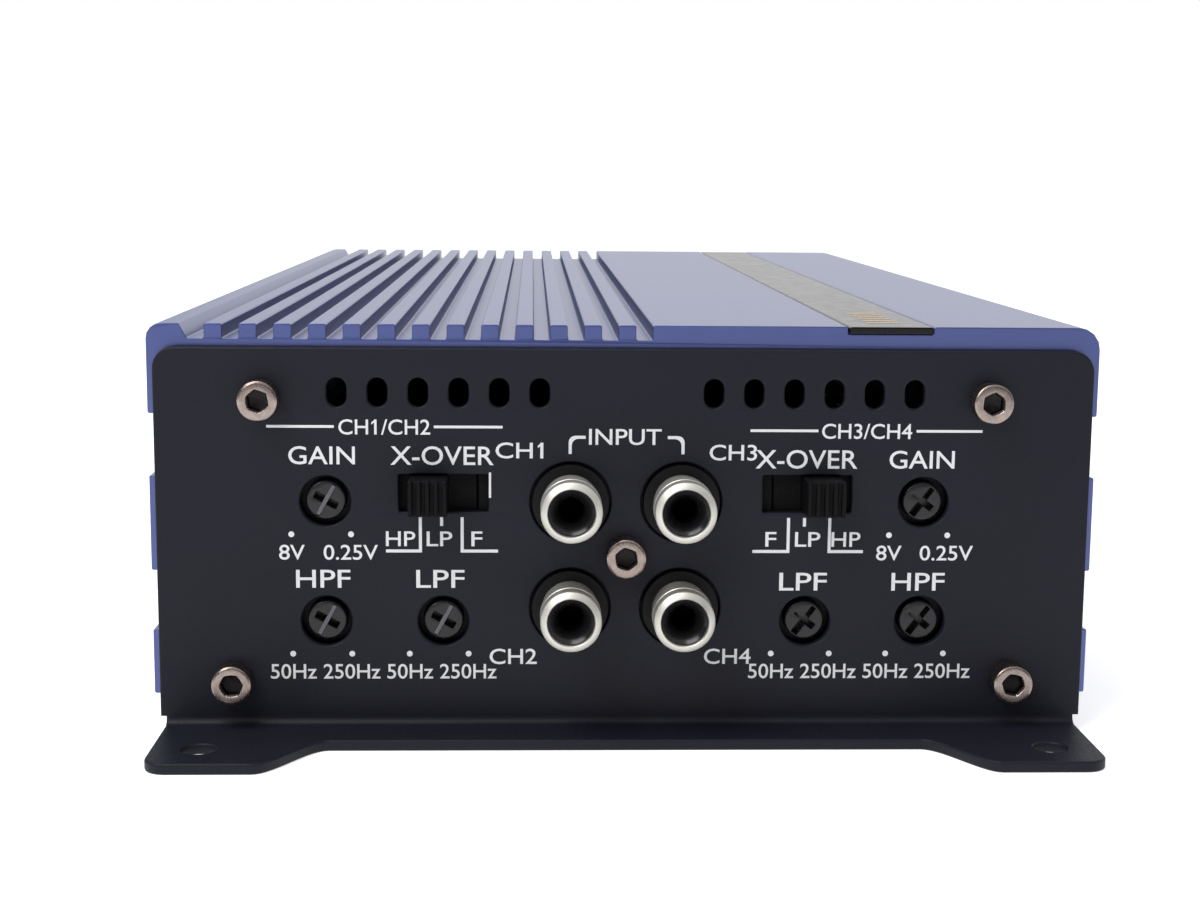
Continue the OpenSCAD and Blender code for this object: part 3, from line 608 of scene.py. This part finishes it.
# Each ring of a screw, from the middle of the socket's floor out over the head and down the shank:
# its radius, its height over the plate, how far it follows the hexagon, and how deep its knurl is.
screw_rings = np.array([
    (0.0, 1.05, 0, 0), (1.0, 1.3, 1, 0), (1.22, 1.36, 1, 0), (1.25, 1.45, 1, 0), (1.25, 2.72, 1, 0),
    (1.48, 2.95, 0.6, 0), (1.56, 3.0, 0.5, 0), (2.3, 3.0, 0, 0), (2.5, 2.95, 0, 0), (2.66, 2.82, 0, 0),
    (2.74, 2.62, 0, 0.3), (2.75, 2.45, 0, 1), (2.75, 0.4, 0, 1), (2.7, 0.12, 0, 0.2), (2.6, 0.0, 0, 0),
    (1.45, 0.0, 0, 0), (1.45, -9.6, 0, 0), (1.1, -10.0, 0, 0), (0.0, -10.0, 0, 0)])


def grid_faces(rows, columns):
    """Quads of a grid whose last column joins its first."""
    k, i = np.meshgrid(np.arange(rows - 1), np.arange(columns), indexing="ij")
    j = (i + 1) % columns
    return np.stack([k * columns + i, k * columns + j, (k + 1) * columns + j, (k + 1) * columns + i],
                    -1).reshape(-1, 4).tolist()


def cap_screw(x, z, face, outside, turn):
    """A grid of rings by angles. The radius is r(1 + h(1/cos((a mod 60) - 30) - 1)) in the hexagon and
    r - 0.1 k |sin 18a| on the knurl, where h and k are the ring's shares of each."""
    a = np.arange(144) * 2 * np.pi / 144
    radius, height, hexagon, knurl = screw_rings.T[:, :, None]
    corner = 1 / np.cos((a + turn) % (np.pi / 3) - np.pi / 6) - 1
    r = radius * (1 + hexagon * corner) - 0.1 * knurl * np.abs(np.sin(18 * a))
    y = face - outside * (height + 0 * a)
    points = np.stack([x + r * np.cos(a) * outside, y, z + r * np.sin(a)], -1)
    return points.reshape(-1, 3), grid_faces(len(screw_rings), len(a))


def off_axis(mesh, places):
    """How far each face's middle is from the nearest of several axes along Y, in millimetres."""
    spot = np.array([p.center for p in mesh.polygons]) / mm
    return np.min([np.hypot(spot[:, 0] - x, spot[:, 2] - z) for x, z in places], 0)


socket_reach, socket_span = 1.5, (0.5, 2.95)


def screws(name, places, face, outside, node):
    """A set of like screws, each left at a turn of its own. What lies in a hexagon socket, near a screw's
    axis and below its rim, is painted near-black as shade."""
    made = [cap_screw(x, z, face, outside, 0.35 + 1.7 * i) for i, (x, z) in enumerate(places)]
    mesh = piece(name, *merged(made), nickel_warm, "nickel_screw", replaces=(node,), sharp=32).data
    mesh.materials.append(socket_painted_shade)
    over = (face - np.array([p.center[1] for p in mesh.polygons]) / mm) * outside
    # Faces inside each hexagon socket take the second material, a near-black painted shade.
    in_socket_shade = (off_axis(mesh, places) < socket_reach) & (over > socket_span[0]) & (over < socket_span[1])
    mesh.polygons.foreach_set("material_index", in_socket_shade.astype(np.int32))


corners = [(s * x, z) for s in (-1, 1) for x, z in (port_top, port_low)]
screws("input_plate_screws", corners, plate_front, 1, "front_plate_screws")
screws("socket_block_screw", [(0, centre("jack_block_screw")[2])], plate_front, 1, "jack_block_screw")
screws("power_plate_screws", corners, plate_rear, -1, "rear_plate_screws")


# ---- Phono sockets ----
# A block of four sockets: a black moulding with a collar round each socket, turned brass shells with a
# satin nickel plate, and black insulators that lead the plug's pin into its contact sleeve.

# Moulded PBT, black: faintly glossy, with the fine sparked texture of its mould drawn at 0.2 mm.
pbt_black = finish("pbt_moulded_black", ("#08080a", "#0d0d10"), 6, 0.2, 0.004, (0.38, 0.5), IOR=1.55,
                   Specular_IOR_Level=0.14)
# Satin nickel on turned brass: nearly white, with a soft wide gloss and faint turning marks.
nickel_bright = finish("nickel_plate_bright", ("#cbcac2", "#d8d6cf"), 4, 0.1, 0.003, (0.42, 0.58),
                       Metallic=1.0)
# Turned acetal, black: a touch greyer than the mouldings, and glossy enough to glint inside its rim.
acetal_black = finish("acetal_turned_black", ("#121214", "#18181a"), 3, 0.15, 0.002, (0.2, 0.28), IOR=1.48)
# The walls and bottom of the pin holes, painted nearly black as the shade deep inside them.
hole_shade = finish("acetal_hole_painted_shade", ("#030303", "#050506"), 1, 0.2, 0.002, (0.8, 0.9),
                    Specular_IOR_Level=0.1)
# Plated spring brass, painted dark for the shade deep inside its hole.
brass_painted_shade = finish("brass_contact", ("#4d4127", "#5f5132"), 2, 0.2, 0.003, (0.35, 0.5), Metallic=1.0)


def turned(profile, x, z, face, outside, steps=96):
    """A profile of radius and height over a plate's face, turned about an axis along Y."""
    a = np.arange(steps) * 2 * np.pi / steps
    radius, height = np.array(profile, float).T[:, :, None]
    along, up = radius * np.cos(a), radius * np.sin(a)
    points = np.stack([x + outside * along, face - outside * (height + 0 * a), z + up], -1)
    return points.reshape(-1, 3), grid_faces(len(profile), steps)


def dress(look, *nodes):
    """Gives CAD nodes their material, in place of the plain one that they came with."""
    for name in nodes:
        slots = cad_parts[name].data.materials
        slots.clear()
        slots.append(look)


shell_rim = plate_front - shell_low[1]
shell_back = plate_front - shell_high[1]
insulator_low = node_box("jack_insulators")[0]
nose = plate_front - insulator_low[1]
pin_r = 1.7
shell_profile = [(3.2, shell_back), (3.15, nose - 1), (3.15, shell_rim - 0.3), (3.2, shell_rim - 0.1),
                 (3.3, shell_rim), (3.42, shell_rim - 0.05), (4.02, shell_rim - 0.48),
                 (4.12, shell_rim - 0.6), (shell_r, shell_rim - 0.75), (shell_r, shell_rim - 2.7),
                 (4.05, shell_rim - 2.8), (4.05, shell_rim - 3.1), (shell_r, shell_rim - 3.2), (shell_r, 4.0),
                 (4.08, 3.9), (3.98, 3.85), (3.95, 2.2), (3.85, 2.1), (3.85, shell_back), (3.2, shell_back)]
insulator_profile = [(0, nose - 7.3), (pin_r - 0.05, nose - 7.3), (pin_r, nose - 7.2), (pin_r, nose - 2.2),
                     (pin_r + 0.06, nose - 2.0), (2.0, nose - 1.35), (2.25, nose - 0.9), (2.5, nose - 0.56),
                     (2.75, nose - 0.29), (2.95, nose - 0.1), (3.05, nose), (3.1, nose - 0.15),
                     (3.1, shell_back), (0, shell_back)]
collar_profile = [(4.16, -0.5), (4.16, 0.3), (4.24, 0.4), (4.45, 0.42), (4.5, 0.3), (4.62, 0.28),
                  (4.68, 0.45), (4.75, 0.55), (4.95, 0.6), (5.08, 0.58), (5.18, 0.45), (5.2, 0.3),
                  (5.2, -0.9), (5.2, -1.4), (4.16, -1.4), (4.16, -0.5)]
for name, profile, look, slot, node in (
        ("socket_shells", shell_profile, nickel_bright, "nickel_shell", ("jack_shells",)),
        ("socket_insulators", insulator_profile, acetal_black, "black_moulding", ("jack_insulators",)),
        ("socket_collars", collar_profile, pbt_black, "black_moulding", ())):
    made = [turned(profile, x, z, plate_front, 1) for x, z in jacks]
    mesh = piece(name, *merged(made), look, slot, replaces=node, sharp=35).data
    if look is acetal_black:
        mesh.materials.append(hole_shade)
        # Faces inside each pin hole take the near-black painted shade.
        in_hole = off_axis(mesh, jacks) < pin_r + 0.05
        mesh.polygons.foreach_set("material_index", in_hole.astype(np.int32))
dress(pbt_black, "jack_block")
# The contacts take the darkened brass, a painted shade for the depth of the holes.
dress(brass_painted_shade, "jack_contacts")


# ---- Trimmers and crossover switches ----
# Six trimmers are soldered to the control board, and their cross-slotted shafts stand in holes of the plate.
# Each crossover switch is a ribbed slider in a folded frame, with a window of the plate in front of it.

# Moulded nylon, black: a shade lighter and glossier than the sockets' moulding.
nylon_black = finish("nylon_moulded_black", ("#101014", "#151519"), 3, 0.16, 0.006, (0.22, 0.36), IOR=1.53,
                     Specular_IOR_Level=0.35)
# Nylon filled with glass fibre, black, for the knobs: dull, because the fibres roughen its skin.
nylon_filled = finish("nylon_glass_filled_black", ("#060608", "#0b0b0e"), 3, 0.2, 0.008, (0.45, 0.6),
                      IOR=1.54, Specular_IOR_Level=0.1)
# The same nylon in grey, for the line along the slots on the left: a painted highlight standing in for light
# on the slot's floor.
nylon_painted_highlight = finish("nylon_grey_painted_highlight", ("#4e4e56", "#585860"), 3, 0.16, 0.006, (0.4, 0.55), IOR=1.53)
# Near-black painted shade for what lies at the bottom of the windows: the sheet steel frames and the back of
# each knob.
window_painted_shade = finish("window_painted_shade", ("#040405", "#09090b"), 5, 0.4, 0.004, (0.7, 0.85),
                         Specular_IOR_Level=0.2)


def cross(angle, lengths, halves):
    """A cross-shaped hole's rim, clockwise. Arm i runs along d = (cos, sin)(angle + 90 i) to its length L,
    its sides lie w to either side, and between it and the next arm the sides meet at w' d + w d'."""
    a = math.radians(angle) + np.arange(4) * np.pi / 2
    d = np.stack([np.cos(a), np.sin(a)], 1)
    n = np.roll(d, -1, 0)
    reach, w = np.array(lengths)[:, None], np.array(halves)[:, None]
    rim = np.stack([d * reach - n * w, d * reach + n * w, d * np.roll(w, -1, 0) + n * w], 1)
    return rounded(rim.reshape(-1, 2)[::-1], 0.12)


def cad_piece(node, look, slot, bevel, body="root"):
    """Stands a softened copy in for a CAD node: the same solid, with its edges rounded by a bevel."""
    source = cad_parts[node].data
    points = np.empty(len(source.vertices) * 3, np.float32)
    source.vertices.foreach_get("co", points)
    faces = [list(p.vertices) for p in source.polygons]
    points = points.reshape(-1, 3) / mm
    return piece(node + "_softened", points, faces, look, slot, body, (node,), bevel=bevel)


# Each slot's angle, the lengths of its four arms and their half widths. The slots on the left are filled
# along their long arms by a grey line, a painted highlight for light on the slot's floor; those on the right
# are open and uneven, as worn ones are.
slot_depth, head_r, stem_r = 2.2, 2.4, 2.7
lined_slot = 61, (2.35, 1.75, 2.35, 1.75), (0.3, 0.52, 0.3, 0.52)
worn_slot = 53, (2.25, 1.7, 2.35, 1.7), (0.36, 0.16, 0.5, 0.46)
lit_line_half, lit_line_inset = (2.3, 0.295), 0.04
for name in trimmers:
    low, high = node_box(name)
    x, _, z = (low + high) / 2
    lined = name.endswith("ch12")
    slot = cross(*(lined_slot if lined else worn_slot))
    head = solid([ring(x, z, head_r, 64)[::-1], slot + (x, z)], low[1], low[1] + slot_depth, 0.06)
    inset = plate_front - low[1]
    lip = turned([(2.34, inset), (2.42, inset), (2.56, inset - 0.05), (2.67, inset - 0.14),
                  (2.73, inset - 0.27), (2.75, inset - 0.42), (2.75, inset - slot_depth),
                  (2.34, inset - slot_depth), (2.34, inset)], x, z, plate_front, 1)
    stem = solid([ring(x, z, stem_r, 64)[::-1]], low[1] + slot_depth - 0.02, high[1], 0.05)
    piece(name + "_shaft", *merged([head, lip, stem]), nylon_black, "control_black", name, (name,), sharp=35)
    # The left trimmers get a grey line along the slot: a painted highlight.
    if lined:
        a = math.radians(lined_slot[0])
        along = np.array((math.cos(a), math.sin(a))) * lit_line_half[0]
        aside = np.array((-math.sin(a), math.cos(a))) * lit_line_half[1]
        lit_line = rounded([(x, z) - along - aside, (x, z) + along - aside, (x, z) + along + aside,
                           (x, z) - along + aside], 0.05)
        lit_line = solid([lit_line], low[1] + lit_line_inset, low[1] + slot_depth, 0.05)
        piece(name + "_painted_highlight", *lit_line, nylon_painted_highlight, "control_black", name)
slider_back = plate_front + 0.6
for name in ("crossover_knob_ch12", "crossover_knob_ch34"):
    knob = cad_piece(name, nylon_filled, "control_black", 0.13, name).data
    knob.materials.append(window_painted_shade)
    # Faces of a knob behind the slider's back, inside the window, take the near-black painted shade.
    shaded = [p.center[1] > slider_back * mm for p in knob.polygons]
    knob.polygons.foreach_set("material_index", np.array(shaded, np.int32))
dress(pbt_black, "trimmer_housings")
# The switch frames are painted near-black as shade.
dress(window_painted_shade, "switch_frames")


# ---- Power plate ----
# The other end plate carries the power terminals with the two blade fuses over them, the speaker terminals
# and two lamps. Its legends are printed like those of the input plate.

power_low, power_high = node_box("power_terminal_block")
speaker_low, speaker_high = node_box("speaker_terminal_block")
fuse_places = [centre(f"fuse_{i}_body") for i in (1, 2)]
fuse_window, block_slack, lamp_hole_r, lamp_flange_r = (21.8, 8.4), 0.6, 1.6, 2.0
lamps = ("power_lamp", "protect_lamp")
lamp_places = []
for name in lamps:
    low, high = node_box(name)
    lamp_places.append(((low[0] + high[0]) / 2, high[2] - lamp_flange_r))
rear_cuts = []
for low, high in ((power_low, power_high), (speaker_low, speaker_high)):
    (x, _, z), (width, _, height) = (low + high) / 2, high - low + block_slack
    rear_cuts.append(opening(x, z, width, height))
rear_cuts += [opening(c[0], c[2], *fuse_window) for c in fuse_places]
rear_cuts += [ring(x, z, lamp_hole_r, 32) for x, z in lamp_places]
end_plate("power_end_plate", rear_cuts, -1, plate_rear, ("rear_end_plate",))

rear_prints = []


def put_behind(made, x, z):
    """Adds one printed mark to the power plate, to be read from behind."""
    rear_prints.append(printed(made, x, z, plate_rear, -1))


medium, sign = 2.0, 0.6
poles = {"battery": "BATT", "remote": "REM", "ground": "GND"}
for what, text in poles.items():
    x = centre(f"power_screw_{what}")[0]
    put_behind(word(text, 1.75 * len(text), medium), x, power_low[2] - 2.2)
for x, _, z in fuse_places:
    put_behind(word("FUSE", 6.6, medium), x, z + 7.0)
for (x, z), text in zip(lamp_places, ("POWER", "PROTECT")):
    put_behind(word(text, 1.3 * len(text), 1.6), x, z + 3.7)
speaker_x = [centre(f"speaker_screw_{i}")[0] for i in range(1, 9)]
signs_z, channels_z, heading_z = speaker_high[2] + 1.8, speaker_high[2] + 5.0, speaker_high[2] + 8.6
for i, x in enumerate(speaker_x):
    put_behind(stroke((-sign, 0), (sign, 0), width=thin), x, signs_z)
    if i % 2:
        for s in (-1, 1):
            put_behind(stroke((0, s * thin / 2), (0, s * sign), width=thin), x, signs_z)
for i in range(4):
    x = (speaker_x[2 * i] + speaker_x[2 * i + 1]) / 2
    put_behind(word(f"CH{4 - i}", 5.6, medium), x, channels_z)
middle = (speaker_x[0] + speaker_x[-1]) / 2
put_behind(word("SPEAKERS", 15.0, 2.2), middle, heading_z)
for s in (-1, 1):
    put_behind(stroke((s * 23.5, -1.8), (s * 23.5, 0), (s * 9.3, 0), turn=corner_turn), middle, heading_z)
piece("power_plate_legends", *merged(rear_prints), screen_ink, "black_powder_coat", sharp=30)

# Nickel-plated brass clamps: pale metal with a warm cast.
clamp_plate = finish("nickel_plate_on_brass", ("#a89c7c", "#b9ae90"), 2, 0.2, 0.004, (0.25, 0.4),
                     Metallic=1.0)
# Zinc-plated terminal screws: a cool grey metal, milky where the plate is thick.
zinc_plate = finish("zinc_plate", ("#9b9c9b", "#b2b3b1"), 1.5, 0.15, 0.004, (0.25, 0.42), Metallic=1.0)
cad_piece("power_terminal_block", pbt_black, "black_moulding", 0.25)
cad_piece("speaker_terminal_block", pbt_black, "black_moulding", 0.1)
cad_piece("power_clamps", clamp_plate, "contact_brass", 0.15)
cad_piece("speaker_clamps", clamp_plate, "contact_brass", 0.12)
for what in poles:
    cad_piece(f"power_screw_{what}", zinc_plate, "terminal_screw", 0.12, f"power_screw_{what}")
for i in range(1, 9):
    cad_piece(f"speaker_screw_{i}", zinc_plate, "terminal_screw", 0.1, f"speaker_screw_{i}")

# Tinted polycarbonate: clear amber, and slightly milky inside.
polycarbonate_amber = finish("polycarbonate_amber", ("#d98a12", "#e6971c"), 4, 0.5, 0.002, (0.1, 0.2),
                             IOR=1.58, Transmission_Weight=0.55)
# Tin plate on the blades and leads: soft, pale and slightly dull.
tin_plate = finish("tin_plate", ("#a9abad", "#bcbec0"), 2, 0.2, 0.003, (0.25, 0.4), Metallic=1.0)
cad_piece("fuse_holder", pbt_black, "black_moulding", 0.2)
for i in (1, 2):
    cad_piece(f"fuse_{i}_body", polycarbonate_amber, "fuse_amber", 0.3, f"fuse_{i}")
    cad_piece(f"fuse_{i}_blades", tin_plate, "tinned_metal", 0.08, f"fuse_{i}")
dress(tin_plate, "fuse_terminals")

# Tinted epoxy lenses, slightly milky.
for name, tints in zip(lamps, (("#2f6fd6", "#3b7de0"), ("#b3241c", "#c43027"))):
    epoxy = finish(f"epoxy_lens_{name}", tints, 2, 0.4, 0.001, (0.08, 0.15), IOR=1.54,
                   Transmission_Weight=0.4)
    cad_piece(name, epoxy, "lamp_blue" if name == "power_lamp" else "lamp_red", 0.05)


# ---- Bottom cover ----
# A painted sheet slides into the channels at the foot of the walls, with an insulation sheet glued inside.

# Satin paint on steel: smooth, with long faint waves from rolling.
paint_black = finish("paint_satin_black", ("#151517", "#1c1c1f"), 20, 1.2, 0.006, (0.3, 0.42), IOR=1.5)
# Vulcanised fibre paper: pale, dull and fibrous.
fibre_paper = finish("fibre_paper", ("#c9c4b2", "#d8d3c2"), 6, 0.4, 0.02, (0.7, 0.85))
cad_piece("bottom_cover", paint_black, "black_sheet", 0.15)
dress(fibre_paper, "insulation_sheet")


# ---- Inside ----
# The boards slide in the rails of the extrusion. Power devices are clamped to both walls through thermal
# pads, and the transformer, choke and capacitors stand between them.

# Solder mask over copper: glossy dark green, mottled where tracks run under it.
solder_mask = finish("solder_mask_green", ("#0b3a1c", "#11502a"), 2.5, 0.6, 0.01, (0.25, 0.4), IOR=1.5)
# Paper-phenolic laminate: brown and slightly waxy.
phenolic = finish("phenolic_laminate", ("#6b4423", "#7d5230"), 3, 0.3, 0.005, (0.45, 0.6))
# Sintered ferrite: a grey-black ceramic with a fine sandy skin.
ferrite = finish("ferrite_sintered", ("#2b2d31", "#36383d"), 3, 0.25, 0.02, (0.5, 0.7))
# Enamelled copper wire, close wound: glossy orange-brown.
copper_enamel = finish("copper_enamelled", ("#8c4318", "#a85523"), 2, 0.8, 0.05, (0.2, 0.35), Metallic=0.8)
# Shrink sleeve on a can: smooth dark blue vinyl.
vinyl_sleeve = finish("vinyl_sleeve", ("#16202f", "#1d2a3d"), 5, 1.0, 0.004, (0.2, 0.3), IOR=1.53)
# Moulded epoxy of the power devices: dull black with a fine mineral grain.
epoxy_black = finish("epoxy_moulded_black", ("#1a1a1c", "#222225"), 2, 0.15, 0.005, (0.5, 0.65))
# Filled silicone of the thermal pads: soft pale grey.
silicone_grey = finish("silicone_pad", ("#8f9296", "#9c9fa3"), 4, 0.5, 0.01, (0.6, 0.8))
# Mill-finish aluminium of the clamp bars: dull, with long drawing marks.
aluminium_mill = finish("aluminium_mill", ("#8f9194", "#a3a5a8"), 5, 0.3, 0.004, (0.35, 0.5), Metallic=1.0)
for look, nodes in ((solder_mask, ("main_board", "control_board")), (phenolic, ("switch_bases",)),
                    (pbt_black, ("board_link",)), (ferrite, ("transformer_core",)),
                    (copper_enamel, ("transformer_winding", "filter_choke")),
                    (vinyl_sleeve, ("filter_capacitors",)), (epoxy_black, ("transistors",)),
                    (silicone_grey, ("thermal_pads",)),
                    (aluminium_mill, ("transistor_clamps",)), (nickel_warm, ("clamp_screws",))):
    dress(look, *nodes)
